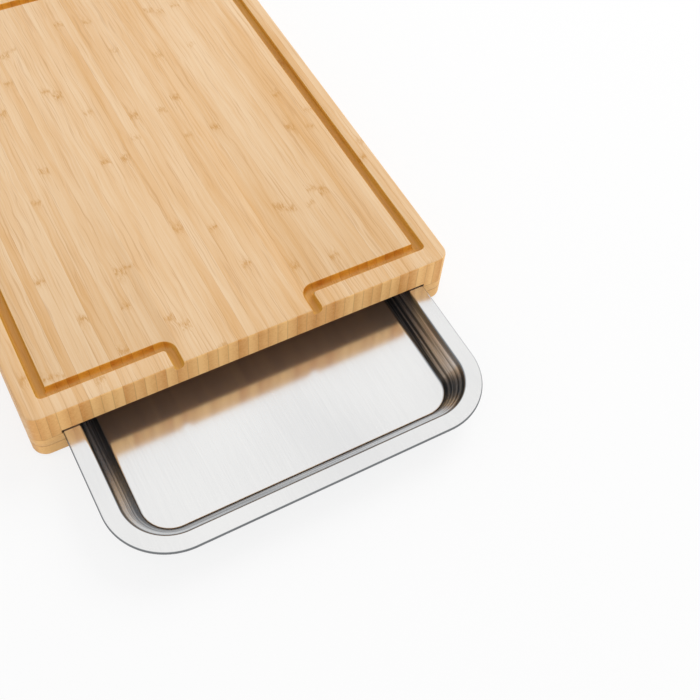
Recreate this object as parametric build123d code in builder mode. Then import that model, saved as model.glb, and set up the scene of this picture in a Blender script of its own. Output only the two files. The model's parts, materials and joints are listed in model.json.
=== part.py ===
"""Bamboo carving board on side rails, with a pressed steel tray that slides in under the slab.

Frame: millimetres, +X to the right, +Y to the back, +Z up. The origin is on the table, in the middle
of the board and its pulled-out tray.
"""

import os
from itertools import pairwise
from math import atan2, tan

from build123d import *

# ---------------------------------------------------------------- driving dimensions
# The board as a whole
board_width = 300.0
board_length = 390.0
corner_radius = 9.5  # of the board's corners, seen from above
top_arris = 1.5  # rounding of the slab's upper edge
stave_width = 7.0  # of one bamboo strip, before the strips are spread evenly

# The slab
slab_over_tray = 20.7  # thickness above the tray
rebate_depth = 3.2  # how far the slab's flanks reach down beside the tray's flange

# The juice groove, its insets measured from the board's edges to the groove's outer edge
groove_width = 7.0
groove_depth = 5.3
groove_side_inset = 12.2
groove_front_inset = 13.8
groove_back_inset = 10.9
left_drain_x = -51.2
right_drain_x = 46.8
drain_bend_radius = 5.5  # of the groove's centre line, where it turns out over the front edge

# The frame of rails under the slab, glued up from two flat layers
rail_width = 29.0
rail_upper_height = 7.4
rail_lower_height = 11.9
rail_bottom_round = 3.0
back_rail_depth = 23.0

# The tray
sheet = 0.8
flange_width = 11.3
tray_depth = 17.8  # from the flange's top to the floor's top
wall_run = 12.2  # how far the sloping wall runs inwards on its way down
flange_corner_radius = 43.0
rim_round = 1.2
flange_bend_radius = 2.2
floor_bend_radius = 3.0
floor_lap = 6.0  # width of floor that is swept with the wall
pull_out = 107.5  # how far the tray stands out of the board at rest

# Feet
foot_diameter = 14.0
foot_height = 1.5
foot_edge_round = 0.5
foot_end_distance = 26.0  # from the board's front or back edge to a foot's centre

# Clearances
tray_side_gap = 0.5  # between the flange and the rebate, each side
tray_top_gap = 1.0  # between the flange and the slab
tray_seat_gap = 0.3  # between the flange's rim and the rails
tray_back_gap = 1.0  # between the closed tray and the back rail

# ---------------------------------------------------------------- derived dimensions
beyond = 1.0  # how far a cutting tool reaches past the faces that it opens

rail_bottom = foot_height
rail_layer_line = rail_bottom + rail_lower_height
rail_top = rail_layer_line + rail_upper_height
slab_underside = rail_top + rebate_depth
slab_top = slab_underside + slab_over_tray

board_front = (pull_out - board_length) / 2
board_back = board_front + board_length
board_middle = (board_front + board_back) / 2

bay_width = board_width - 2 * rail_width
bay_back = board_back - back_rail_depth

rim_height = rebate_depth - tray_top_gap - tray_seat_gap
flange_top = slab_underside - tray_top_gap
# The rebate is wider than the bay, so that the tray's flange lies on both rails
rail_seat_width = 10.1
rebate_width = bay_width + 2 * rail_seat_width
tray_width = rebate_width - 2 * tray_side_gap
tray_length = board_length - back_rail_depth - tray_back_gap
tray_front = board_front - pull_out
tray_middle = tray_front + tray_length / 2
tray_floor_top = flange_top - tray_depth

groove_radius = groove_width / 2
groove_centre_z = slab_top - groove_depth + groove_radius
groove_x = board_width / 2 - groove_side_inset - groove_radius
groove_front_y = board_front + groove_front_inset + groove_radius
groove_back_y = board_back - groove_back_inset - groove_radius

os.makedirs("parts", exist_ok=True)


def write(piece, name):
    """Label a finished piece and write it under its name."""
    piece.part.label = name
    export_step(piece.part, f"parts/{name}.step")


# ---------------------------------------------------------------- the slab, before it is read as strips
def groove_section(start, heading):
    """The groove's round-bottomed section, at a point of its centre line and square to its heading."""
    plane = Plane(
        origin=(start.X, start.Y, groove_centre_z),
        x_dir=Vector(0, 0, 1).cross(heading),
        z_dir=heading,
    )
    with BuildSketch(plane, mode=Mode.PRIVATE) as section:
        Circle(groove_radius)
        Rectangle(
            groove_width,
            slab_top - groove_centre_z + beyond,
            align=(Align.CENTER, Align.MIN),
        )
    return section.sketch


bend_y = groove_front_y - drain_bend_radius
front_left = Vector(-groove_x, groove_front_y)
back_left = Vector(-groove_x, groove_back_y)
back_right = Vector(groove_x, groove_back_y)
front_right = Vector(groove_x, groove_front_y)
left_bend_end = Vector(left_drain_x - drain_bend_radius, groove_front_y)
right_bend_end = Vector(right_drain_x + drain_bend_radius, groove_front_y)
left_mouth = Vector(left_drain_x, board_front - beyond)
right_mouth = Vector(right_drain_x, board_front - beyond)
left_bend_start = Vector(left_drain_x, bend_y)
right_bend_start = Vector(right_drain_x, bend_y)

groove_runs = [
    (left_mouth, left_bend_start),
    (left_bend_end, front_left),
    (front_left, back_left),
    (back_left, back_right),
    (back_right, front_right),
    (front_right, right_bend_end),
    (right_mouth, right_bend_start),
]

with BuildPart() as slab:
    with BuildSketch(Plane.XY.offset(rail_top)):
        with Locations((0, board_middle)):
            RectangleRounded(board_width, board_length, corner_radius)
    extrude(amount=slab_top - rail_top)
    fillet(slab.edges().group_by(Axis.Z)[-1], top_arris)
    # The rebate that the tray's flange runs in, open to the front and the back
    with BuildSketch(Plane.XY.offset(rail_top)):
        with Locations((0, board_middle)):
            Rectangle(rebate_width, board_length + 2 * beyond)
    extrude(amount=rebate_depth, mode=Mode.SUBTRACT)
    # The juice groove: straight runs, round-nosed corners and a bend into each drain
    for run_start, run_end in groove_runs:
        run = run_end - run_start
        extrude(groove_section(run_start, run.normalized()), amount=run.length, mode=Mode.SUBTRACT)
    for corner in (front_left, back_left, back_right, front_right):
        nose_plane = Plane(
            origin=(corner.X, corner.Y, groove_centre_z), x_dir=(1, 0, 0), z_dir=(0, -1, 0)
        )
        with BuildSketch(nose_plane):
            with BuildLine():
                CenterArc((0, 0), groove_radius, -90, 90)
                Polyline(
                    (groove_radius, 0),
                    (groove_radius, slab_top - groove_centre_z + beyond),
                    (0, slab_top - groove_centre_z + beyond),
                    (0, -groove_radius),
                )
            make_face()
        revolve(axis=Axis((corner.X, corner.Y, 0), (0, 0, 1)), mode=Mode.SUBTRACT)
    for bend_start, side in ((left_bend_start, -1), (right_bend_start, 1)):
        turn_axis = Axis((bend_start.X + side * drain_bend_radius, bend_y, 0), (0, 0, -side))
        revolve(
            groove_section(bend_start, Vector(0, 1, 0)),
            axis=turn_axis,
            revolution_arc=90,
            mode=Mode.SUBTRACT,
        )

# ---------------------------------------------------------------- strips of the slab
flank_width = (board_width - rebate_width) / 2
flank_count = max(1, round(flank_width / stave_width))
middle_count = max(1, round(rebate_width / stave_width))
seams = [-board_width / 2 + flank_width * i / flank_count for i in range(flank_count)]
seams += [-rebate_width / 2 + rebate_width * i / middle_count for i in range(middle_count)]
seams += [rebate_width / 2 + flank_width * i / flank_count for i in range(flank_count + 1)]

for number, (seam_left, seam_right) in enumerate(pairwise(seams), start=1):
    with BuildPart() as stave:
        add(slab.part)
        with Locations(((seam_left + seam_right) / 2, board_middle, (rail_top + slab_top) / 2)):
            Box(
                seam_right - seam_left,
                board_length + 2 * beyond,
                slab_top - rail_top + 2 * beyond,
                mode=Mode.INTERSECT,
            )
    write(stave, f"stave_{number:02d}")

# ---------------------------------------------------------------- rails, cut from two flat layers
with BuildPart() as lower_layer:
    with BuildSketch(Plane.XY.offset(rail_bottom)):
        with Locations((0, board_middle)):
            RectangleRounded(board_width, board_length, corner_radius)
    extrude(amount=rail_lower_height)
    fillet(lower_layer.edges().group_by(Axis.Z)[0], rail_bottom_round)
    with BuildSketch(Plane.XY.offset(rail_bottom)):
        with Locations((0, board_front - beyond)):
            Rectangle(bay_width, bay_back - board_front + beyond, align=(Align.CENTER, Align.MIN))
    extrude(amount=rail_lower_height, mode=Mode.SUBTRACT)

with BuildPart() as upper_layer:
    with BuildSketch(Plane.XY.offset(rail_layer_line)):
        with Locations((0, board_middle)):
            RectangleRounded(board_width, board_length, corner_radius)
        with Locations((0, board_front - beyond)):
            Rectangle(
                bay_width,
                bay_back - board_front + beyond,
                align=(Align.CENTER, Align.MIN),
                mode=Mode.SUBTRACT,
            )
    extrude(amount=rail_upper_height)

for layer, layer_name in ((lower_layer, "lower"), (upper_layer, "upper")):
    with BuildPart() as left_rail:
        add(layer.part)
        split(bisect_by=Plane.YZ.offset(-bay_width / 2), keep=Keep.BOTTOM)
    write(left_rail, f"left_rail_{layer_name}")

    with BuildPart() as right_rail:
        add(layer.part)
        split(bisect_by=Plane.YZ.offset(bay_width / 2), keep=Keep.TOP)
    write(right_rail, f"right_rail_{layer_name}")

with BuildPart() as back_rail_lower:
    add(lower_layer.part)
    split(bisect_by=Plane.YZ.offset(-bay_width / 2), keep=Keep.TOP)
    split(bisect_by=Plane.YZ.offset(bay_width / 2), keep=Keep.BOTTOM)
write(back_rail_lower, "back_rail_lower")

# The upper layer of the back rail carries a tongue that fills the rebate behind the tray
with BuildPart() as back_rail_upper:
    with BuildSketch(Plane.XY.offset(rail_layer_line)):
        with Locations((0, bay_back)):
            Rectangle(bay_width, back_rail_depth, align=(Align.CENTER, Align.MIN))
    extrude(amount=rail_upper_height)
    with BuildSketch(Plane.XY.offset(rail_top)):
        with Locations((0, bay_back)):
            Rectangle(rebate_width, back_rail_depth, align=(Align.CENTER, Align.MIN))
    extrude(amount=rebate_depth)
write(back_rail_upper, "back_rail_upper")

# ---------------------------------------------------------------- the tray
# Its section is drawn from the rim inwards: depth runs in from the flange's edge, height from its top
wall_slope = atan2(tray_depth, wall_run)
bend_shift = sheet * tan(wall_slope / 2)  # how far the underside's bends lie back from the top's
floor_edge = flange_width + wall_run
section_end = floor_edge + floor_lap

with BuildPart() as tray:
    with BuildLine(Plane.XY.offset(flange_top)) as rim:
        half_width = tray_width / 2
        tray_back = tray_front + tray_length
        FilletPolyline(
            (0, tray_front),
            (half_width, tray_front),
            (half_width, tray_back),
            (-half_width, tray_back),
            (-half_width, tray_front),
            radius=[0] + [flange_corner_radius] * 4,
            close=True,
        )
    with BuildSketch(Plane(origin=(0, tray_front, flange_top), x_dir=(0, 1, 0), z_dir=(1, 0, 0))):
        with BuildLine():
            FilletPolyline(
                (0, -rim_height),
                (0, 0),
                (flange_width, 0),
                (floor_edge, -tray_depth),
                (section_end, -tray_depth),
                radius=[rim_round, flange_bend_radius, floor_bend_radius],
            )
            FilletPolyline(
                (sheet, -rim_height),
                (sheet, -sheet),
                (flange_width - bend_shift, -sheet),
                (floor_edge - bend_shift, -tray_depth - sheet),
                (section_end, -tray_depth - sheet),
                radius=[
                    rim_round - sheet,
                    flange_bend_radius - sheet,
                    floor_bend_radius + sheet,
                ],
            )
            Line((0, -rim_height), (sheet, -rim_height))
            Line((section_end, -tray_depth), (section_end, -tray_depth - sheet))
        make_face()
    sweep(path=rim.wire())
    with BuildSketch(Plane.XY.offset(tray_floor_top - sheet)):
        with Locations((0, tray_middle)):
            RectangleRounded(
                tray_width - 2 * section_end,
                tray_length - 2 * section_end,
                flange_corner_radius - section_end,
            )
    extrude(amount=sheet)
write(tray, "tray")

# ---------------------------------------------------------------- feet
foot_x = (board_width - rail_width) / 2
for foot_name, x, y in (
    ("front_left", -foot_x, board_front + foot_end_distance),
    ("front_right", foot_x, board_front + foot_end_distance),
    ("back_left", -foot_x, board_back - foot_end_distance),
    ("back_right", foot_x, board_back - foot_end_distance),
):
    with BuildPart() as foot:
        with BuildSketch(Plane.XY):
            with Locations((x, y)):
                Circle(foot_diameter / 2)
        extrude(amount=foot_height)
        fillet(foot.edges().group_by(Axis.Z)[0], foot_edge_round)
    write(foot, f"foot_{foot_name}")
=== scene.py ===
"""Bamboo carving board with a sliding steel tray: the finished pieces, dressed around the packed frame.

Lengths are in metres. +X is the board's right, +Y its back and +Z up, with the table at Z = 0.
"""

import json
import random
from math import atan2, pi, radians, tan

import bmesh
import bpy
from bpy.props import FloatProperty, FloatVectorProperty, PointerProperty
from mathutils import Matrix, Vector


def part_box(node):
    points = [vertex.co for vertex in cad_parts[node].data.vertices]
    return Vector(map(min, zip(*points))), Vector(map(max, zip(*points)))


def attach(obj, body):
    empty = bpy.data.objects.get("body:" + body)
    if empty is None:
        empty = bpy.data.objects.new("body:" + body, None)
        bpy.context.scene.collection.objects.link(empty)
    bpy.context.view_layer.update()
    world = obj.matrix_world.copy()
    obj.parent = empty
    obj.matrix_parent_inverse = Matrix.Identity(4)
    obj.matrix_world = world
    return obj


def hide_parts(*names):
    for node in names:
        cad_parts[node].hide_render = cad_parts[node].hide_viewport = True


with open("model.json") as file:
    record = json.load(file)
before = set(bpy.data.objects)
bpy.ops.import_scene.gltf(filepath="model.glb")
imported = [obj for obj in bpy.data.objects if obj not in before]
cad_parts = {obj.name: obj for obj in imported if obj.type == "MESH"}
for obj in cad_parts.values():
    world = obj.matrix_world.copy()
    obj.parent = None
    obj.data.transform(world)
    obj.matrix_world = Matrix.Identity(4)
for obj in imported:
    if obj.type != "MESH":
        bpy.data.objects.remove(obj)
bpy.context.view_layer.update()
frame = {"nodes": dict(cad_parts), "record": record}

bl_info = {
    "name": "Carving board with tray",
    "version": (1, 0, 0),
    "blender": (4, 5, 0),
    "location": "View3D > Sidebar > Carving board",
    "description": "Builds a laminated carving board, its rails, its steel tray and a small studio",
    "category": "Object",
}

MM = 0.001
SLIVER = 1e-6  # points nearer than this are one point
STRIP_SEED = 11  # chooses how the strips differ in pattern and tone
MOST_SHIFT = 10  # how far a strip's patterns may be shifted, in cells of the pattern
FACES_ALONG = 0.9  # a face looks along an axis if its normal has at least this much of it

# ------------------------------------------------------------------ sizes read from the frame
STRIPS = sorted(name for name in frame["nodes"] if name.startswith("stave_"))
STRIP_BOXES = [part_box(name) for name in STRIPS]
SLAB_LOW = Vector([min(low[i] for low, high in STRIP_BOXES) for i in range(3)])
SLAB_HIGH = Vector([max(high[i] for low, high in STRIP_BOXES) for i in range(3)])
SLAB_UNDERSIDE = STRIP_BOXES[len(STRIPS) // 2][0].z  # the middle strip lies over the tray
REBATE_LEFT = min(low.x for low, high in STRIP_BOXES if low.z > SLAB_LOW.z + SLIVER)
REBATE_RIGHT = -REBATE_LEFT
TRAY_LOW, TRAY_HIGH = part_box("tray")
RAIL_LOW, RAIL_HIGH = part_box("left_rail_lower")
LAYER_LOW, LAYER_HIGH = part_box("left_rail_upper")
BACK_LOW, BACK_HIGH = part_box("back_rail_upper")
FEET = sorted(name for name in frame["nodes"] if name.startswith("foot_"))

# ------------------------------------------------------------------ segments in each rounding
CORNER_STEPS = 16  # a quarter turn of the board's corners, the groove and the feet
TRAY_CORNER_STEPS = 28  # a quarter turn of the tray's wide corners
BOTTOM_STEPS = 10  # each half of the groove's round bottom
BEND_STEPS = 8  # the rails' lower edge and the tray's bends
ARRIS_STEPS = 6  # the slab's upper edge and the tray's rim
SMALL_STEPS = 4  # the groove's shoulders and the feet's lower edge
SANDED_STEPS = 2  # edges that are only sanded


# ------------------------------------------------------------------ settings
def length(name, description, default):
    """A size in metres that the panel shows."""
    return FloatProperty(
        name=name, description=description, default=default, min=0.0, unit="LENGTH", precision=5
    )


def colour(name, description, default):
    """A linear colour that the panel shows."""
    return FloatVectorProperty(
        name=name, description=description, default=default, min=0.0, max=1.0, subtype="COLOR"
    )


def amount(name, description, default, highest=1.0):
    """A plain number that the panel shows."""
    return FloatProperty(name=name, description=description, default=default, min=0.0, max=highest)


class SlabSettings(bpy.types.PropertyGroup):
    """Sizes of the slab and of its juice groove."""

    corner: length("Corner radius", "Rounding of the board's corners, seen from above", 9.5 * MM)
    arris: length("Arris", "Rounding of the slab's upper edge", 1.5 * MM)
    groove_width: length("Groove width", "Width of the juice groove between its walls", 6.8 * MM)
    groove_depth: length("Groove depth", "Depth of the juice groove", 5.3 * MM)
    groove_rim: length("Groove rim", "How far the sanded rim flares out on each side", 0.35 * MM)
    groove_side: length("Side inset", "From the board's side to the groove's centre line", 15.7 * MM)
    groove_front: length("Front inset", "From the board's front to the groove's centre line", 17.3 * MM)
    groove_back: length("Back inset", "From the board's back to the groove's centre line", 14.4 * MM)
    left_drain: length("Left drain", "How far left of the middle the left drain lies", 51.2 * MM)
    right_drain: length("Right drain", "How far right of the middle the right drain lies", 46.8 * MM)
    drain_bend: length("Drain bend", "Radius of the groove's centre line into a drain", 5.5 * MM)


class RailSettings(bpy.types.PropertyGroup):
    """Roundings of the rails under the slab."""

    bottom_round: length("Bottom rounding", "Rounding of the rails' lower outer edge", 3.0 * MM)
    arris: length("Arris", "Sanding of the rails' inner edges", 0.3 * MM)


class TraySettings(bpy.types.PropertyGroup):
    """Sizes of the pressed tray."""

    sheet: length("Sheet", "Thickness of the steel", 0.8 * MM)
    flange: length("Flange", "Width of the flat flange", 11.3 * MM)
    wall_run: length("Wall run", "How far the wall runs inwards on its way down", 12.2 * MM)
    corner: length("Corner radius", "Radius of the flange's corners, seen from above", 43.0 * MM)
    rim_height: length("Rim height", "Height of the turned-down rim", 1.9 * MM)
    rim_round: length("Rim rounding", "Rounding over the flange's outer edge", 1.2 * MM)
    flange_bend: length("Flange bend", "Bend between the flange and the wall", 2.2 * MM)
    floor_bend: length("Floor bend", "Bend between the wall and the floor", 3.0 * MM)


class BambooSettings(bpy.types.PropertyGroup):
    """Colours of the bamboo, and how far apart its knuckles lie."""

    pale: colour("Pale strip", "Long grain of the palest strips", (0.87, 0.625, 0.385))
    deep: colour("Deep strip", "Long grain of the darkest strips", (0.755, 0.435, 0.18))
    fibre: colour("Fibre", "Fine dark fibres and glue lines", (0.52, 0.25, 0.08))
    knuckle: colour("Knuckle", "Marks where the cane had its joints", (0.63, 0.32, 0.09))
    end_pale: colour("Pale end grain", "End grain on the soft side of a strip", (0.98, 0.59, 0.23))
    end_deep: colour("Deep end grain", "End grain on the dense side of a strip", (0.66, 0.265, 0.055))
    # Painted shade and painted warm bounce light in the groove: the walls darker than the floor
    groove_shade: colour(
        "Milled walls", "What the groove's walls keep of the wood's colour", (0.82, 0.69, 0.22)
    )
    groove_floor_shade: colour(
        "Milled floor", "What the groove's floor keeps of the wood's colour", (0.90, 0.75, 0.37)
    )
    # Painted shade: the colour given to the slab's downward faces, darker than the wood
    underside_shade: colour("Underside", "Unsanded wood on the slab's underside", (0.25, 0.105, 0.03))
    rail: colour("Rail", "Long grain of the rails", (0.84, 0.53, 0.25))
    rail_deep: colour("Deep rail", "Dark fibres in the rails' long grain", (0.64, 0.30, 0.09))
    knuckle_spacing: length("Knuckle spacing", "Mean distance between a strip's knuckles", 0.235)


class SteelSettings(bpy.types.PropertyGroup):
    """Finish of the tray, and the dark reflections painted on its walls and bends."""

    tint: colour("Steel", "Colour of the satin steel", (0.86, 0.858, 0.85))
    brushed: colour("Brushing", "Steel in the shade of the finest brush marks", (0.77, 0.77, 0.77))
    # Painted dark reflections: the streaks, the walls and the bends are given darker colours than the
    # flat steel
    drawn: colour("Drawn", "Streaks that the press has drawn on the walls", (0.10, 0.112, 0.128))
    wall: colour("Wall", "Walls and bends between the streaks", (0.70, 0.735, 0.77))
    bend_shade: colour("Lip", "Bends on both sides of the flange", (0.13, 0.135, 0.14))
    roughness: amount("Roughness", "Roughness of the flat faces", 0.17)


class FootSettings(bpy.types.PropertyGroup):
    """Sizes and colours of the rubber feet."""

    edge: length("Edge", "Rounding of a foot's lower edge", 0.5 * MM)
    ring: amount(
        "Tread ring", "Width of the ring that stands on the table, as a share of the radius", 0.35
    )
    slope: length("Tread slope", "Width of the slope from the ring up to the hollow", 0.3 * MM)
    hollow: length("Tread hollow", "Depth of the hollow inside the ring", 0.4 * MM)
    rubber: colour("Rubber", "Colour of the rubber", (0.03, 0.03, 0.03))
    worn: colour("Worn rubber", "Paler grain in the rubber", (0.06, 0.06, 0.06))


class StageSettings(bpy.types.PropertyGroup):
    """Camera and light."""

    lens: amount("Lens", "Focal length on a 36 mm wide sensor, in millimetres", 53.97, 500.0)
    key: amount("Key light", "Power of the large light over the back right, in watts", 30.0, 1000.0)
    sky: amount("Sky", "Strength of the white studio overhead", 0.67, 10.0)
    horizon: amount("Horizon", "Strength of the white studio near the floor", 1.15, 10.0)
    shadow: amount("Shadow", "How much of the object's shadow the white floor shows", 0.2)


SETTINGS = {
    "board_slab": SlabSettings,
    "board_rails": RailSettings,
    "board_tray": TraySettings,
    "board_bamboo": BambooSettings,
    "board_steel": SteelSettings,
    "board_feet": FootSettings,
    "board_stage": StageSettings,
}


# ------------------------------------------------------------------ mesh helpers
def bevel(bm, geom, offset, segments, affect="EDGES"):
    """Round edges or corners of a bmesh."""
    bmesh.ops.bevel(
        bm,
        geom=geom,
        offset=offset,
        offset_type="OFFSET",
        segments=segments,
        profile=0.5,
        affect=affect,
        material=-1,
        clamp_overlap=True,
    )


def level(edge, height):
    """True for an edge that lies at a height."""
    return all(abs(vert.co.z - height) < SLIVER for vert in edge.verts)


def block(low, high):
    """A closed box between two corners."""
    bm = bmesh.new()
    bmesh.ops.create_cube(bm, size=1.0)
    bmesh.ops.scale(bm, vec=high - low, verts=bm.verts)
    bmesh.ops.translate(bm, vec=(low + high) / 2, verts=bm.verts)
    return bm


def board_blank(bottom, top, corner, top_round=0.0, bottom_round=0.0):
    """A block with the board's outline, rounded in plan and along its upper or lower edge."""
    bm = block(Vector((SLAB_LOW.x, SLAB_LOW.y, bottom)), Vector((SLAB_HIGH.x, SLAB_HIGH.y, top)))
    upright = [e for e in bm.edges if abs(e.verts[0].co.z - e.verts[1].co.z) > SLIVER]
    bevel(bm, upright, corner, CORNER_STEPS)
    if top_round:
        bevel(bm, [e for e in bm.edges if level(e, top)], top_round, ARRIS_STEPS)
    if bottom_round:
        bevel(bm, [e for e in bm.edges if level(e, bottom)], bottom_round, BEND_STEPS)
    return bm


def extrude_by(bm, faces, move, drop_first=False):
    """Extrude faces by a move. The first faces are dropped where they would end up inside the piece."""
    grown = bmesh.ops.extrude_face_region(bm, geom=faces)["geom"]
    if drop_first:
        bmesh.ops.delete(bm, geom=faces, context="FACES_ONLY")
    bmesh.ops.translate(bm, vec=move, verts=[v for v in grown if isinstance(v, bmesh.types.BMVert)])


def keep_side(bm, point, normal):
    """Cut a closed mesh by a plane, drop what lies on the normal's side and close the cut."""
    bmesh.ops.bisect_plane(
        bm,
        geom=bm.verts[:] + bm.edges[:] + bm.faces[:],
        dist=SLIVER,
        plane_co=point,
        plane_no=normal,
        clear_outer=True,
    )
    cut = [e for e in bm.edges if e.is_boundary]
    bmesh.ops.edgenet_fill(bm, edges=cut, mat_nr=0, use_smooth=False)


def bevel_sharp(bm, offset, segments, least_turn=radians(50)):
    """Sand every sharp edge of a simple piece."""
    bm.normal_update()
    sharp = [e for e in bm.edges if e.is_manifold and e.calc_face_angle() > least_turn]
    bevel(bm, sharp, offset, segments)


def mesh_object(bm, name, materials, crease=radians(32)):
    """Turn a bmesh into a smooth-shaded object whose creases stay sharp."""
    mesh = bpy.data.meshes.new(name)
    bm.to_mesh(mesh)
    bm.free()
    for material in materials:
        mesh.materials.append(material)
    mesh.shade_smooth()
    mesh.set_sharp_from_angle(angle=crease)
    made = bpy.data.objects.new(name, mesh)
    bpy.context.scene.collection.objects.link(made)
    return made


def dress(piece, node):
    """Let a finished piece stand for its node: same body, and the node hidden."""
    body = next(b for b, members in frame["record"]["behaviour"]["bodies"].items() if node in members)
    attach(piece, body)
    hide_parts(node)


# ------------------------------------------------------------------ material helpers
class Nodes:
    """A short way to write a material's nodes: a socket or a number may be given for any input."""

    def __init__(self, tree):
        self.tree = tree

    def add(self, kind, inputs=None, **settings):
        """Add a node, set its options and its inputs, and return it."""
        node = self.tree.nodes.new(kind)
        for key, value in settings.items():
            setattr(node, key, value)
        self.fill(node, inputs or {})
        return node

    def fill(self, node, inputs):
        """Link a socket to each named input of a node, or set the input's own value."""
        for key, value in inputs.items():
            if isinstance(value, bpy.types.NodeSocket):
                self.tree.links.new(value, node.inputs[key])
            else:
                node.inputs[key].default_value = value

    def split(self, vector):
        """A vector's three parts."""
        return self.add("ShaderNodeSeparateXYZ", {0: vector}).outputs

    def join(self, x, y, z):
        """A vector from three parts."""
        return self.add("ShaderNodeCombineXYZ", {0: x, 1: y, 2: z}).outputs[0]

    def vector_maths(self, operation, *vectors):
        """A Vector Math node's result."""
        return self.add(
            "ShaderNodeVectorMath", dict(enumerate(vectors)), operation=operation
        ).outputs[0]

    def maths(self, operation, *values):
        """A Math node's result."""
        return self.add("ShaderNodeMath", dict(enumerate(values)), operation=operation).outputs[0]

    def total(self, *terms):
        """The sum of some terms. A term is a value, or a value with its factor."""
        parts = [self.maths("MULTIPLY", *term) if isinstance(term, tuple) else term for term in terms]
        result = parts[0]
        for part in parts[1:]:
            result = self.maths("ADD", result, part)
        return result

    def centred(self, noise):
        """A noise moved to lie round nought."""
        return self.maths("SUBTRACT", noise, 0.5)

    def clamp(self, value):
        """A value kept between 0 and 1."""
        return self.add("ShaderNodeClamp", {0: value}).outputs[0]

    def ramp(self, value, low, high, out_low=0.0, out_high=1.0):
        """A value carried smoothly from one range to another."""
        inputs = {
            "Value": value,
            "From Min": low,
            "From Max": high,
            "To Min": out_low,
            "To Max": out_high,
        }
        return self.add(
            "ShaderNodeMapRange", inputs, interpolation_type="SMOOTHSTEP", clamp=True
        ).outputs["Result"]

    def mix(self, factor, first, second, blend="MIX", kind="RGBA"):
        """Two colours mixed, or two vectors."""
        inputs = {"Factor": factor, "A": first, "B": second}
        return self.add("ShaderNodeMix", inputs, data_type=kind, blend_type=blend).outputs["Result"]

    def noise(self, vector, scale, detail=2.0, roughness=0.5):
        """A noise value of mean one half."""
        inputs = {"Vector": vector, "Scale": scale, "Detail": detail, "Roughness": roughness}
        return self.add("ShaderNodeTexNoise", inputs).outputs["Fac"]

    def stretch(self, vector, scale, shift=(0.0, 0.0, 0.0)):
        """A vector scaled along its axes, to draw a pattern out along the grain, and shifted."""
        return self.vector_maths("ADD", self.vector_maths("MULTIPLY", vector, scale), shift)

    def grain(self, vector, scale, shift=(0.0, 0.0, 0.0), detail=2.0, roughness=0.5):
        """A noise with its own scale along each axis."""
        return self.noise(self.stretch(vector, scale, shift), 1.0, detail, roughness)

    def bump(self, height, strength, distance):
        """A normal turned by the slopes of a height, which counts for a distance at its full strength."""
        inputs = {"Strength": strength, "Distance": distance, "Height": height}
        return self.add("ShaderNodeBump", inputs).outputs[0]


def new_material(name):
    """An empty Principled material: (material, its Nodes, its Principled node)."""
    material = bpy.data.materials.new(name)
    material.use_nodes = True
    material.node_tree.nodes.clear()
    nodes = Nodes(material.node_tree)
    principled = nodes.add("ShaderNodeBsdfPrincipled")
    output = nodes.add("ShaderNodeOutputMaterial", {"Surface": principled.outputs[0]})
    output.is_active_output = True
    return material, nodes, principled


def rgba(values):
    """A colour property as a socket value."""
    return (*values, 1.0)


# ------------------------------------------------------------------ bamboo
# Cells of each pattern in a metre: across a strip, along it and upwards
SPECKLE = (1000.0, 240.0, 1000.0)
LEAN = (150.0, 60.0, 150.0)
WANDER = (60.0, 30.0, 60.0)
RIPPLE = (260.0, 170.0, 260.0)
FINE_FIBRES = (1500.0, 30.0, 1500.0)
COARSE_FIBRES = (620.0, 11.0, 620.0)
THREADS = (900.0, 18.0, 900.0)
CLOUD = (34.0, 12.0, 34.0)
DRIFT = (16.0, 5.0, 16.0)
BUNDLES = (1500.0, 0.0, 1100.0)

# The same in the rails, whose bamboo lies flat
RAIL_FINE = (1300.0, 26.0, 1900.0)
RAIL_COARSE = (300.0, 8.0, 620.0)
RAIL_CLOUD = (60.0, 9.0, 160.0)
RAIL_BUNDLES = (1100.0, 0.0, 1500.0)

SWAY = 4.5 * MM  # width over which the fibres wander
SWAY_RISE = 0.25  # share of it by which they wander upwards
TWIST = 4 * MM  # how much further they wander beside a knuckle
GRAIN_RELIEF = 0.06 * MM  # depth of the open grain in a sanded face
RAIL_GLUE = (0.2 * MM, 0.6 * MM)  # how far from its middle a rail's glue line starts to fade, and is gone
STRIP_GLUE = (0.015, 0.06)  # the same between strips, as shares of a strip's width
KNUCKLE_CORE = (0.003, 0.021)  # the same for a knuckle, as shares of the knuckle spacing
KNUCKLE_TAIL = (0.005, 0.050)  # the same for the disturbed fibres beside it
KNUCKLE_LEAN = 0.03  # how far a knuckle leans along its strip, as a share of the knuckle spacing
CANE_STAGGER = 5.31  # carries a strip's shift to where its first knuckle lies
CANE_SEED = 91.7  # and to the tones of its canes
PATTERN_SPREAD = 3.7  # and to a place along the grain, so that no two strips show the same piece
END_ON = (0.35, 0.8)  # how much a face looks along the grain where end grain starts, and is all


def cane_knuckles(n, place, own, shift, look):
    """Where the joints of the cane cross a strip: the tone of each cane, which changes at its joints, a
    joint's core, and the tail of disturbed fibres on both sides of it."""
    lean = n.centred(n.grain(place, LEAN, own, detail=1.0))
    start = n.maths("DIVIDE", n.split(place)["Y"], look.knuckle_spacing)
    run = n.total(start, (shift, CANE_STAGGER), (lean, KNUCKLE_LEAN))
    away = n.maths("ABSOLUTE", n.centred(n.maths("FRACT", run)))
    cane = n.maths("FLOOR", n.maths("ADD", run, 0.5))
    seed = n.total(cane, (shift, CANE_SEED))
    cane_tone = n.add("ShaderNodeTexWhiteNoise", {"W": seed}, noise_dimensions="1D").outputs["Value"]
    # A cane of a high tone has the larger knuckle
    away = n.maths("DIVIDE", away, n.total(0.55, (cane_tone, 0.9)))
    return cane_tone, n.ramp(away, *KNUCKLE_CORE, 1.0, 0.0), n.ramp(away, *KNUCKLE_TAIL, 1.0, 0.0)


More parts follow.
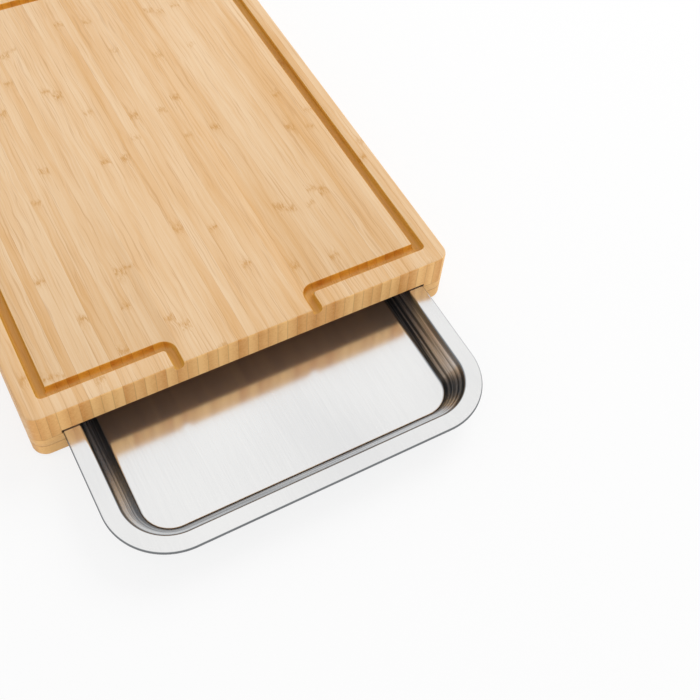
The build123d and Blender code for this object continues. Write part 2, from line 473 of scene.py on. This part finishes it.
def bundle_dots(n, place, scale, shift=(0.0, 0.0, 0.0)):
    """The ends of the cane's fibre bundles, dark in end grain."""
    cells = n.add("ShaderNodeTexVoronoi", {"Vector": n.stretch(place, scale, shift), "Scale": 1.0})
    return n.ramp(cells.outputs["Distance"], 0.10, 0.42, 1.0, 0.0)


def strip_bamboo(name, look, groove_shade):
    """Bamboo strips on edge. The attribute "strip" holds each point's place across its strip, a random
    shift that is the strip's own, and the strip's tone. The groove's faces get painted shade and painted
    warm bounce light: darker and more orange, the walls more than the floor."""
    material, n, principled = new_material(name)
    coordinates = n.add("ShaderNodeTexCoord").outputs
    place = coordinates["Object"]
    facing = n.split(coordinates["Normal"])
    strip = n.add("ShaderNodeAttribute", attribute_name="strip").outputs["Vector"]
    across, shift, tone = n.split(strip)
    own = n.join(shift, n.maths("MULTIPLY", shift, PATTERN_SPREAD), shift)
    cane_tone, core, tail = cane_knuckles(n, place, own, shift, look)

    # Fibres drawn out along the strip. They wander, most of all beside a knuckle
    wander = n.centred(n.grain(place, WANDER, own))
    ripple = n.centred(n.grain(place, RIPPLE, own, detail=1.0))
    sway = n.total((wander, SWAY), (n.maths("MULTIPLY", ripple, TWIST), tail))
    flow = n.vector_maths("ADD", place, n.join(sway, 0.0, n.maths("MULTIPLY", sway, SWAY_RISE)))
    fine = n.grain(flow, FINE_FIBRES, own, 3.0, 0.6)
    coarse = n.grain(flow, COARSE_FIBRES, own)
    threads = n.ramp(n.grain(flow, THREADS, own, detail=1.0), 0.56, 0.72)
    cloud = n.grain(place, CLOUD, own)
    drift = n.grain(place, DRIFT, detail=1.0)

    # Long grain: the deeper its tone, the darker it is
    weights = ((across, 0.18), (cloud, 0.85), (drift, 0.65), (coarse, 0.85), (fine, 0.60))
    patterns = [(n.centred(pattern), weight) for pattern, weight in weights]
    depth = n.clamp(n.total((tone, 0.28), (cane_tone, 0.30), 0.12, *patterns))
    long_grain = n.mix(depth, rgba(look.pale), rgba(look.deep))
    long_grain = n.mix(n.maths("MULTIPLY", threads, 0.30), long_grain, rgba(look.fibre))

    # Knuckles: a speckled core and streaks beside it, stronger in some canes
    speckle = n.grain(place, SPECKLE, own, 2.0, 0.6)
    blotch = n.maths("MULTIPLY", core, n.ramp(speckle, 0.36, 0.66, 0.08, 0.92))
    streaks = n.maths("MULTIPLY", n.maths("MULTIPLY", tail, n.ramp(fine, 0.46, 0.64)), 0.38)
    strong = n.ramp(cane_tone, 0.0, 0.7, 0.45, 1.0)
    knuckle = n.maths("MULTIPLY", n.maths("MAXIMUM", blotch, streaks), strong)
    long_grain = n.mix(knuckle, long_grain, rgba(look.knuckle))

    # End grain: dense, dark bundles crowd to one side of the strip
    crowd = n.ramp(across, 0.15, 1.0)
    density = n.total((crowd, 0.30), (tone, 0.55), -0.06, (n.centred(coarse), 0.5))
    dots = n.maths("MULTIPLY", bundle_dots(n, place, BUNDLES, own), n.total((crowd, 0.26), 0.08))
    end_depth = n.clamp(n.total(density, dots))
    end_grain = n.mix(end_depth, rgba(look.end_pale), rgba(look.end_deep))
    end_on = n.ramp(n.maths("ABSOLUTE", facing["Y"]), *END_ON)
    wood = n.mix(end_on, long_grain, end_grain)

    # A thin, broken glue line at each edge of the strip
    edge = n.maths("MINIMUM", across, n.maths("SUBTRACT", 1.0, across))
    broken = n.ramp(coarse, 0.38, 0.66, 0.0, 0.34)
    broken = n.maths("MAXIMUM", broken, n.maths("MULTIPLY", end_on, 0.45))
    glue = n.maths("MULTIPLY", n.ramp(edge, *STRIP_GLUE, 1.0, 0.0), broken)
    wood = n.mix(glue, wood, rgba(look.fibre))

    # Painted shade and painted bounce light in the groove, the walls darker than the floor
    if groove_shade:
        left = n.mix(n.ramp(facing["Z"], 0.45, 0.95), rgba(look.groove_shade), rgba(look.groove_floor_shade))
        wood = n.mix(1.0, wood, left, "MULTIPLY")
    else:
        # Painted shade: faces that look down are darkened towards this colour
        below = n.mix(n.maths("MULTIPLY", depth, 0.5), rgba(look.underside_shade), rgba(look.fibre))
        wood = n.mix(n.ramp(facing["Z"], -0.9, -0.6, 1.0, 0.0), wood, below)
    surface = {
        "Base Color": wood,
        "Roughness": n.ramp(n.maths("ADD", fine, coarse), 0.6, 1.4, 0.46, 0.62),
        "Specular IOR Level": 0.3,
        "Normal": n.bump(n.total(fine, (threads, -0.8), (glue, -0.8)), 0.35, GRAIN_RELIEF),
    }
    n.fill(principled, surface)
    return material


def rail_bamboo(name, look):
    """Bamboo lying flat in the rails, with its grain along the board, or across it in the back rail."""
    material, n, principled = new_material(name)
    coordinates = n.add("ShaderNodeTexCoord").outputs
    place = coordinates["Object"]
    x, y, z = n.split(place)
    # The back rail's grain runs along X, so X and Y change places in its patterns
    between = n.maths("LESS_THAN", n.maths("ABSOLUTE", x), -RAIL_HIGH.x)
    behind = n.maths("MULTIPLY", n.maths("GREATER_THAN", y, BACK_LOW.y - SLIVER), between)
    along = n.mix(behind, place, n.join(y, x, z), kind="VECTOR")
    fine = n.grain(along, RAIL_FINE, detail=3.0, roughness=0.6)
    coarse = n.grain(along, RAIL_COARSE)
    cloud = n.grain(along, RAIL_CLOUD)
    upper = n.maths("GREATER_THAN", z, LAYER_LOW.z)

    weights = ((cloud, 1.3), (coarse, 1.1), (fine, 0.9))
    patterns = [(n.centred(pattern), weight) for pattern, weight in weights]
    depth = n.clamp(n.total(0.45, (upper, -0.12), *patterns))
    long_grain = n.mix(depth, rgba(look.rail), rgba(look.rail_deep))

    density = n.maths("MULTIPLY", n.maths("SUBTRACT", coarse, 0.3), 0.6)
    end_depth = n.clamp(n.total(density, (bundle_dots(n, along, RAIL_BUNDLES), 0.35)))
    end_grain = n.mix(end_depth, rgba(look.end_pale), rgba(look.end_deep))
    facing = n.maths("ABSOLUTE", n.split(coordinates["Normal"])["Y"])
    end_on = n.maths("MULTIPLY", facing, n.maths("SUBTRACT", 1.0, behind))
    wood = n.mix(n.ramp(end_on, *END_ON), long_grain, end_grain)

    # Glue lines between the two layers and under the slab
    joint = n.maths("ABSOLUTE", n.maths("SUBTRACT", z, LAYER_LOW.z))
    seat = n.maths("ABSOLUTE", n.maths("SUBTRACT", z, LAYER_HIGH.z))
    glue = n.ramp(n.maths("MINIMUM", joint, seat), *RAIL_GLUE, 0.55, 0.0)
    surface = {
        "Base Color": n.mix(glue, wood, rgba(look.fibre)),
        "Roughness": n.ramp(fine, 0.3, 0.7, 0.45, 0.6),
        "Specular IOR Level": 0.35,
        "Normal": n.bump(fine, 0.35, GRAIN_RELIEF),
    }
    n.fill(principled, surface)
    return material


# ------------------------------------------------------------------ the juice groove
RIM_LEAN = radians(60)  # how far the groove's sanded rim leans out from upright
GROOVE_PAST = 2 * MM  # how far the groove's tools reach past the slab
REBATE_PAST = 5 * MM  # how far the rebate's tool does
BOTTOM_SHARE = 0.99  # of the half width, so that the bottom's two roundings don't quite meet


def groove_section(settings):
    """The groove's section as one face in the XZ plane: X across, Z up, the slab's top at Z = 0."""
    half = settings.groove_width / 2
    rim = settings.groove_rim
    flare = tan(RIM_LEAN)
    bm = bmesh.new()
    outline = [
        (-half, -settings.groove_depth),
        (half, -settings.groove_depth),
        (half, -rim / flare),
        (half + rim + GROOVE_PAST * flare, GROOVE_PAST),
        (-half - rim - GROOVE_PAST * flare, GROOVE_PAST),
        (-half, -rim / flare),
    ]
    corners = [bm.verts.new((x, 0.0, z)) for x, z in outline]
    bm.faces.new(corners)
    bevel(bm, corners[:2], half * BOTTOM_SHARE, BOTTOM_STEPS, "VERTICES")
    shoulders = [v for v in bm.verts if abs(v.co.z + rim / flare) < SLIVER]
    bevel(bm, shoulders, rim, SMALL_STEPS, "VERTICES")
    return bm


def turn_to(heading):
    """The turn about Z that takes the section's +Y to a heading."""
    return Matrix.Rotation(atan2(-heading.x, heading.y), 4, "Z")


def groove_tools(settings):
    """Closed tools for the whole groove: its straight runs, round-nosed corners and drain bends."""
    top = SLAB_HIGH.z
    middle = (SLAB_LOW.x + SLAB_HIGH.x) / 2
    side = SLAB_HIGH.x - settings.groove_side
    front = SLAB_LOW.y + settings.groove_front
    back = SLAB_HIGH.y - settings.groove_back
    bend = settings.drain_bend
    past = SLAB_LOW.y - GROOVE_PAST
    drains = ((middle - settings.left_drain, -1), (middle + settings.right_drain, 1))
    corners = [Vector((s * side, y, top)) for s in (-1, 1) for y in (front, back)]
    front_left, back_left, front_right, back_right = corners
    runs = [(front_left, back_left), (back_left, back_right), (front_right, back_right)]
    for (x, way), corner in zip(drains, (front_left, front_right)):
        runs.append((Vector((x + way * bend, front, top)), corner))
        runs.append((Vector((x, past, top)), Vector((x, front - bend, top))))

    tools = []
    for start, end in runs:
        bm = groove_section(settings)
        extrude_by(bm, bm.faces[:], (0, (end - start).length, 0))
        bm.transform(Matrix.Translation(start) @ turn_to(end - start))
        tools.append(bm)
    for x, way in drains:
        bm = groove_section(settings)
        bmesh.ops.spin(
            bm,
            geom=bm.faces[:],
            cent=(way * bend, 0, 0),
            axis=(0, 0, -way),
            angle=pi / 2,
            steps=CORNER_STEPS,
            use_duplicate=False,
        )
        bm.transform(Matrix.Translation((x, front - bend, top)))
        tools.append(bm)
    for corner in corners:
        bm = groove_section(settings)
        bmesh.ops.bisect_plane(
            bm,
            geom=bm.verts[:] + bm.edges[:] + bm.faces[:],
            plane_co=(0, 0, 0),
            plane_no=(-1, 0, 0),
            clear_outer=True,
        )
        on_axis = [e for e in bm.edges if all(abs(v.co.x) < SLIVER for v in e.verts)]
        bmesh.ops.delete(bm, geom=bm.faces[:], context="FACES_ONLY")
        bmesh.ops.delete(bm, geom=on_axis, context="EDGES")
        bmesh.ops.spin(
            bm,
            geom=bm.edges[:],
            cent=(0, 0, 0),
            axis=(0, 0, 1),
            angle=2 * pi,
            steps=4 * CORNER_STEPS,
            use_merge=True,
        )
        bmesh.ops.remove_doubles(bm, verts=bm.verts[:], dist=SLIVER)
        bm.transform(Matrix.Translation(corner))
        tools.append(bm)

    for bm in tools:
        bmesh.ops.recalc_face_normals(bm, faces=bm.faces[:])
        for face in bm.faces:
            face.material_index = 1
    return tools


def carved_slab(settings, materials):
    """The slab in one piece, as a bmesh: outline, arris, rebate and juice groove."""
    blank = board_blank(SLAB_LOW.z, SLAB_HIGH.z, settings.corner, top_round=settings.arris)
    slab = mesh_object(blank, "slab_blank", materials)
    rebate = block(
        Vector((REBATE_LEFT, SLAB_LOW.y - REBATE_PAST, SLAB_LOW.z - REBATE_PAST)),
        Vector((REBATE_RIGHT, SLAB_HIGH.y + REBATE_PAST, SLAB_UNDERSIDE)),
    )
    tools = [mesh_object(bm, "slab_tool", materials) for bm in (rebate, *groove_tools(settings))]
    for tool in tools:
        cut = slab.modifiers.new(tool.name, "BOOLEAN")
        cut.operation = "DIFFERENCE"
        cut.solver = "MANIFOLD"
        cut.object = tool
    bpy.context.view_layer.update()
    carved = slab.evaluated_get(bpy.context.evaluated_depsgraph_get())
    bm = bmesh.new()
    bm.from_mesh(carved.data)
    bmesh.ops.remove_doubles(bm, verts=bm.verts[:], dist=SLIVER)
    for helper in (slab, *tools):
        bpy.data.objects.remove(helper)
    return bm


class BOARD_OT_strips(bpy.types.Operator):
    """Build the slab, machine it and cut it into its bamboo strips."""

    bl_idname = "board.strips"
    bl_label = "Slab strips"

    def execute(self, context):
        """Make one closed piece for each strip."""
        look = context.scene.board_bamboo
        materials = [
            strip_bamboo("bamboo_strip", look, groove_shade=False),
            strip_bamboo("bamboo_groove", look, groove_shade=True),
        ]
        slab = carved_slab(context.scene.board_slab, materials)
        draw = random.Random(STRIP_SEED)
        for name, (low, high) in zip(STRIPS, STRIP_BOXES):
            bm = slab.copy()
            if low.x > SLAB_LOW.x + SLIVER:
                keep_side(bm, (low.x, 0, 0), (-1, 0, 0))
            if high.x < SLAB_HIGH.x - SLIVER:
                keep_side(bm, (high.x, 0, 0), (1, 0, 0))
            bmesh.ops.recalc_face_normals(bm, faces=bm.faces[:])
            flip = draw.random() < 0.5
            shift, tone = draw.random() * MOST_SHIFT, draw.random()
            strip = bm.verts.layers.float_vector.new("strip")
            for vert in bm.verts:
                across = (vert.co.x - low.x) / (high.x - low.x)
                vert[strip] = (1 - across if flip else across, shift, tone)
            dress(mesh_object(bm, f"strip_{name[-2:]}", materials), name)
        slab.free()
        return {"FINISHED"}


class BOARD_OT_rails(bpy.types.Operator):
    """Build the rails under the slab, cut from two flat layers."""

    bl_idname = "board.rails"
    bl_label = "Rails"

    def execute(self, context):
        """Make the side rails and the back rail, lower and upper layer."""
        settings = context.scene.board_rails
        corner = context.scene.board_slab.corner
        look = rail_bamboo("bamboo_rail", context.scene.board_bamboo)
        inner_left, inner_right = RAIL_HIGH.x, -RAIL_HIGH.x
        layers = {
            "lower": (RAIL_LOW.z, RAIL_HIGH.z, settings.bottom_round),
            "upper": (LAYER_LOW.z, LAYER_HIGH.z, 0.0),
        }
        for layer, (bottom, top, bottom_round) in layers.items():
            cuts = {
                "left_rail": [((inner_left, 0, 0), (1, 0, 0))],
                "right_rail": [((inner_right, 0, 0), (-1, 0, 0))],
                "back_rail": [
                    ((inner_left, 0, 0), (-1, 0, 0)),
                    ((inner_right, 0, 0), (1, 0, 0)),
                    ((0, BACK_LOW.y, 0), (0, -1, 0)),
                ],
            }
            for rail, planes in cuts.items():
                bm = board_blank(bottom, top, corner, bottom_round=bottom_round)
                for point, normal in planes:
                    keep_side(bm, point, normal)
                if (rail, layer) == ("back_rail", "upper"):
                    self.add_tongue(bm)
                bevel_sharp(bm, settings.arris, SANDED_STEPS)
                bmesh.ops.recalc_face_normals(bm, faces=bm.faces[:])
                name = f"{rail}_{layer}"
                dress(mesh_object(bm, f"{name}_wood", [look]), name)
        return {"FINISHED"}

    @staticmethod
    def add_tongue(bm):
        """Widen the back rail's upper layer into the tongue that fills the slab's rebate."""
        top = [f for f in bm.faces if f.normal.z > FACES_ALONG]
        extrude_by(bm, top, (0, 0, BACK_HIGH.z - LAYER_HIGH.z), drop_first=True)
        for side in (-1, 1):
            bm.normal_update()
            raised = [f for f in bm.faces if f.calc_center_median().z > LAYER_HIGH.z]
            cheek = [f for f in raised if f.normal.x * side > FACES_ALONG]
            extrude_by(bm, cheek, (side * (BACK_HIGH.x + RAIL_HIGH.x), 0, 0), drop_first=True)


# ------------------------------------------------------------------ the tray
# Cells of each pattern in a metre: across the tray, along it and upwards
BRUSH = (2600.0, 34.0, 2600.0)
DRAWN = (8.0, 8.0, 520.0)

STEEL_CLOUD = 9.0  # cells in a metre of the cloudiness in the finish
BRUSH_RELIEF = 0.02 * MM  # depth of the brush marks
BEND_SHADE_FADE = (3.5 * MM, 1.5 * MM)  # how far below the flange the painted dark reflection on the bends starts, and is full
FLOOR_LAP = 6 * MM  # width of the floor's edge that the section carries round the tray


def satin_steel(name, look):
    """Satin stainless sheet, brushed along the tray. Its walls carry painted dark reflections in streaks,
    and its bends and rim a darker painted reflection still."""
    material, n, principled = new_material(name)
    coordinates = n.add("ShaderNodeTexCoord").outputs
    place = coordinates["Object"]
    height = n.split(place)["Z"]
    flatness = n.maths("ABSOLUTE", n.split(coordinates["Normal"])["Z"])
    brush = n.grain(place, BRUSH, detail=3.0, roughness=0.6)
    cloud = n.noise(place, STEEL_CLOUD, 1.0)
    drawn = n.grain(place, DRAWN, roughness=0.6)

    shade = n.ramp(n.total((brush, 0.6), cloud), 0.5, 1.1)
    flat = n.mix(shade, rgba(look.tint), rgba(look.brushed))
    # Painted dark reflections streak the walls. The streaks are widest near the floor, which paints the
    # walls darker towards the bottom
    low = n.ramp(height, TRAY_LOW.z, TRAY_HIGH.z, 0.20, -0.04)
    plain = n.ramp(n.maths("SUBTRACT", drawn, low), 0.32, 0.62)
    steep = n.mix(plain, rgba(look.drawn), rgba(look.wall))
    steepness = n.ramp(flatness, 0.75, 0.985, 1.0, 0.0)
    tint = n.mix(steepness, flat, steep)
    # Painted dark reflection on the bends on both sides of the flange
    start, full = (TRAY_HIGH.z - fade for fade in BEND_SHADE_FADE)
    bend_shade = n.maths("MULTIPLY", n.ramp(height, start, full), n.ramp(flatness, 0.80, 0.98, 0.9, 0.0))
    surface = {
        "Base Color": n.mix(bend_shade, tint, rgba(look.bend_shade)),
        "Metallic": 0.94,
        "Roughness": n.total(look.roughness - 0.05, (brush, 0.06), (cloud, 0.04), (steepness, 0.05)),
        "Normal": n.bump(brush, 0.05, BRUSH_RELIEF),
    }
    n.fill(principled, surface)
    return material


def tray_section(settings, drop):
    """The tray's section over its front edge, as a bmesh of edges: rim, flange, wall and some floor."""
    slope = atan2(drop, settings.wall_run)
    floor_edge = settings.flange + settings.wall_run
    outline = [
        (0.0, -settings.rim_height),
        (0.0, 0.0),
        (settings.flange, 0.0),
        (floor_edge, -drop),
        (floor_edge + FLOOR_LAP, -drop),
    ]
    bm = bmesh.new()
    points = [bm.verts.new((0.0, TRAY_LOW.y + run, TRAY_HIGH.z + height)) for run, height in outline]
    for first, second in zip(points, points[1:]):
        bm.edges.new((first, second))
    # A bend starts this far from its corner. Over the rim, a square turn, that is its own radius
    turns = (
        (points[1], settings.rim_round, ARRIS_STEPS),
        (points[2], settings.flange_bend * tan(slope / 2), BEND_STEPS),
        (points[3], settings.floor_bend * tan(slope / 2), BEND_STEPS),
    )
    for point, tangent, steps in turns:
        bevel(bm, [point], tangent, steps, "VERTICES")
    return bm


def tray_shell(settings):
    """The tray's upper surface: one section carried along the sides and spun round the corners."""
    drop = TRAY_HIGH.z - TRAY_LOW.z - settings.sheet
    bm = tray_section(settings, drop)
    across = TRAY_HIGH.x - settings.corner
    along_front = TRAY_LOW.y + settings.corner
    along_back = TRAY_HIGH.y - settings.corner
    edge = bm.edges[:]
    # For each run, how far the section is carried, and the centre of the corner it is then spun round
    stops = [
        ((across, 0, 0), (across, along_front)),
        ((0, along_back - along_front, 0), (across, along_back)),
        ((-2 * across, 0, 0), (-across, along_back)),
        ((0, along_front - along_back, 0), (-across, along_front)),
        ((across, 0, 0), None),
    ]
    for move, centre in stops:
        carried = bmesh.ops.extrude_edge_only(bm, edges=edge)["geom"]
        verts = [v for v in carried if isinstance(v, bmesh.types.BMVert)]
        bmesh.ops.translate(bm, vec=move, verts=verts)
        edge = [e for e in carried if isinstance(e, bmesh.types.BMEdge)]
        if centre:
            spun = bmesh.ops.spin(
                bm,
                geom=verts + edge,
                cent=(*centre, 0),
                axis=(0, 0, 1),
                angle=pi / 2,
                steps=TRAY_CORNER_STEPS,
                use_duplicate=False,
            )["geom_last"]
            edge = [e for e in spun if isinstance(e, bmesh.types.BMEdge)]
    bmesh.ops.remove_doubles(bm, verts=bm.verts[:], dist=SLIVER)
    floor_rim = [e for e in bm.edges if e.is_boundary and level(e, TRAY_HIGH.z - drop)]
    bmesh.ops.contextual_create(bm, geom=floor_rim)
    bmesh.ops.recalc_face_normals(bm, faces=bm.faces[:])
    floor = max(bm.faces, key=lambda f: f.calc_area())
    if floor.normal.z < 0:
        bmesh.ops.reverse_faces(bm, faces=bm.faces[:])
    return bm


class BOARD_OT_tray(bpy.types.Operator):
    """Build the pressed steel tray."""

    bl_idname = "board.tray"
    bl_label = "Tray"

    def execute(self, context):
        """Sweep the tray's section, then give the sheet its thickness."""
        settings = context.scene.board_tray
        steel = satin_steel("satin_steel", context.scene.board_steel)
        tray = mesh_object(tray_shell(settings), "steel_tray", [steel])
        wall = tray.modifiers.new("Sheet", "SOLIDIFY")
        wall.thickness = settings.sheet
        wall.offset = -1.0
        wall.use_even_offset = True
        wall.use_rim = True
        dress(tray, "tray")
        return {"FINISHED"}


# ------------------------------------------------------------------ the feet
RUBBER_GRAIN = 900.0  # cells of the rubber's grain in a metre
RUBBER_RELIEF = 0.05 * MM  # depth of that grain


def soft_rubber(name, look):
    """Matt soft rubber with a fine, paler grain."""
    material, n, principled = new_material(name)
    grain = n.noise(n.add("ShaderNodeTexCoord").outputs["Object"], RUBBER_GRAIN, 3.0)
    surface = {
        "Base Color": n.mix(n.ramp(grain, 0.3, 0.7), rgba(look.rubber), rgba(look.worn)),
        "Roughness": n.ramp(grain, 0.3, 0.7, 0.7, 0.85),
        "Normal": n.bump(grain, 0.3, RUBBER_RELIEF),
    }
    n.fill(principled, surface)
    return material


class BOARD_OT_feet(bpy.types.Operator):
    """Build the four rubber feet."""

    bl_idname = "board.feet"
    bl_label = "Feet"

    def execute(self, context):
        """Make each foot as a low disc with a ring-shaped tread."""
        settings = context.scene.board_feet
        rubber = soft_rubber("foot_rubber", settings)
        for name in FEET:
            low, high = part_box(name)
            radius = (high.x - low.x) / 2
            bm = bmesh.new()
            bmesh.ops.create_cone(
                bm,
                cap_ends=True,
                segments=4 * CORNER_STEPS,
                radius1=radius,
                radius2=radius,
                depth=high.z - low.z,
            )
            bmesh.ops.translate(bm, vec=(low + high) / 2, verts=bm.verts)
            bevel(bm, [e for e in bm.edges if level(e, low.z)], settings.edge, SMALL_STEPS)
            sole = min(bm.faces, key=lambda f: f.calc_center_median().z)
            for width in (radius * settings.ring, settings.slope):
                bmesh.ops.inset_region(bm, faces=[sole], thickness=width)
            bmesh.ops.translate(bm, vec=(0, 0, settings.hollow), verts=sole.verts[:])
            bmesh.ops.recalc_face_normals(bm, faces=bm.faces[:])
            dress(mesh_object(bm, f"{name}_pad", [rubber]), name)
        return {"FINISHED"}


# ------------------------------------------------------------------ the stage
WHITE = (1.0, 1.0, 1.0, 1.0)
FLOOR_PAINT = (0.95, 0.95, 0.95, 1.0)
FLOOR_REACH = 4.0  # from the middle of the floor to its edge
OVERHEAD = 0.7  # height on a sky of radius one from which the sky is as bright as overhead
KEY_PLACE = Vector((1.9, 0.9, 1.9))
KEY_SIZE = 2.0  # across the lamp
SENSOR = 36.0  # width in millimetres
NEAREST = 0.01  # the camera leaves out what is nearer than this
CAMERA_PLACE = Vector((-0.16337, -0.49406, 0.59628))
CAMERA_HEADING = radians(34.119)  # to the right of the board's +Y
CAMERA_TILT = radians(55.405)  # below the horizon
CAMERA_ROLL = radians(6.481)


def seen_plainly(n):
    """1 where the backdrop is seen, straight or in a reflection, and 0 where it only gives light."""
    path = n.add("ShaderNodeLightPath").outputs
    return n.maths("MAXIMUM", path["Is Camera Ray"], path["Is Glossy Ray"])


class BOARD_OT_stage(bpy.types.Operator):
    """Build the floor, the studio light and the camera."""

    bl_idname = "board.stage"
    bl_label = "Stage"

    def execute(self, context):
        """Make the stage around the finished pieces."""
        settings = context.scene.board_stage
        self.add_floor(settings)
        self.light_world(context.scene, settings)
        self.add_key(context.scene, settings)
        self.add_camera(context.scene, settings)
        context.scene.view_settings.view_transform = "Standard"
        return {"FINISHED"}

    @staticmethod
    def add_floor(settings):
        """A white floor. The camera and the steel see it nearly white, with a part of its shadows."""
        material, n, principled = new_material("studio_floor")
        paint = {"Base Color": FLOOR_PAINT, "Roughness": 0.9, "Specular IOR Level": 0.0}
        n.fill(principled, paint)
        white = n.add("ShaderNodeEmission", {"Color": WHITE, "Strength": 1.0})
        share = n.maths("MULTIPLY", seen_plainly(n), 1.0 - settings.shadow)
        both = n.add("ShaderNodeMixShader", {0: share, 1: principled.outputs[0], 2: white.outputs[0]})
        output = next(node for node in material.node_tree.nodes if node.type == "OUTPUT_MATERIAL")
        n.fill(output, {"Surface": both.outputs[0]})
        bm = bmesh.new()
        bmesh.ops.create_grid(bm, x_segments=1, y_segments=1, size=FLOOR_REACH)
        mesh_object(bm, "studio_floor", [material])

    @staticmethod
    def light_world(scene, settings):
        """A soft white studio. The camera and the steel see it plain white."""
        scene.world = bpy.data.worlds.new("studio")
        scene.world.use_nodes = True
        tree = scene.world.node_tree
        tree.nodes.clear()
        n = Nodes(tree)
        way = n.add("ShaderNodeTexCoord").outputs["Generated"]
        lighting = n.ramp(n.split(way)["Z"], 0.0, OVERHEAD, settings.horizon, settings.sky)
        plain = seen_plainly(n)
        strength = n.total((lighting, n.maths("SUBTRACT", 1.0, plain)), plain)
        light = n.add("ShaderNodeBackground", {"Color": WHITE, "Strength": strength})
        n.add("ShaderNodeOutputWorld", {"Surface": light.outputs[0]})

    @staticmethod
    def add_key(scene, settings):
        """One large soft light over the right and the back."""
        data = bpy.data.lights.new("key", "AREA")
        data.shape = "DISK"
        data.size = KEY_SIZE
        data.energy = settings.key
        lamp = bpy.data.objects.new("key", data)
        lamp.location = KEY_PLACE
        lamp.visible_glossy = False  # the steel shows the studio alone
        lamp.rotation_euler = (-KEY_PLACE).to_track_quat("-Z", "Y").to_euler()
        scene.collection.objects.link(lamp)

    @staticmethod
    def add_camera(scene, settings):
        """The photograph's point of view."""
        data = bpy.data.cameras.new("camera")
        data.lens = settings.lens
        data.sensor_width = SENSOR
        data.clip_start = NEAREST
        camera = bpy.data.objects.new("camera", data)
        turn = (
            Matrix.Rotation(-CAMERA_HEADING, 4, "Z")
            @ Matrix.Rotation(pi / 2 - CAMERA_TILT, 4, "X")
            @ Matrix.Rotation(CAMERA_ROLL, 4, "Z")
        )
        camera.matrix_world = Matrix.Translation(CAMERA_PLACE) @ turn
        scene.collection.objects.link(camera)
        scene.camera = camera


# ------------------------------------------------------------------ the panel
OPERATORS = (BOARD_OT_strips, BOARD_OT_rails, BOARD_OT_tray, BOARD_OT_feet, BOARD_OT_stage)


class BOARD_PT_panel(bpy.types.Panel):
    """The carving board's settings and pieces in the sidebar."""

    bl_label = "Carving board"
    bl_idname = "BOARD_PT_panel"
    bl_space_type = "VIEW_3D"
    bl_region_type = "UI"
    bl_category = "Carving board"

    def draw(self, context):
        """List the settings, then one button for each operator."""
        for key, group in SETTINGS.items():
            box = self.layout.box()
            box.label(text=group.__doc__)
            for name in group.__annotations__:
                box.prop(getattr(context.scene, key), name)
        for operator in OPERATORS:
            self.layout.operator(operator.bl_idname)


def register():
    """Register the settings, the operators and the panel."""
    for group in (*SETTINGS.values(), *OPERATORS, BOARD_PT_panel):
        bpy.utils.register_class(group)
    for key, group in SETTINGS.items():
        setattr(bpy.types.Scene, key, PointerProperty(type=group))


def unregister():
    """Remove what register() added."""
    for key in SETTINGS:
        delattr(bpy.types.Scene, key)
    for group in reversed((*SETTINGS.values(), *OPERATORS, BOARD_PT_panel)):
        bpy.utils.unregister_class(group)


def main():
    """Build every piece and the stage."""
    register()
    bpy.ops.board.strips()
    bpy.ops.board.rails()
    bpy.ops.board.tray()
    bpy.ops.board.feet()
    bpy.ops.board.stage()


if __name__ == "__main__":
    main()
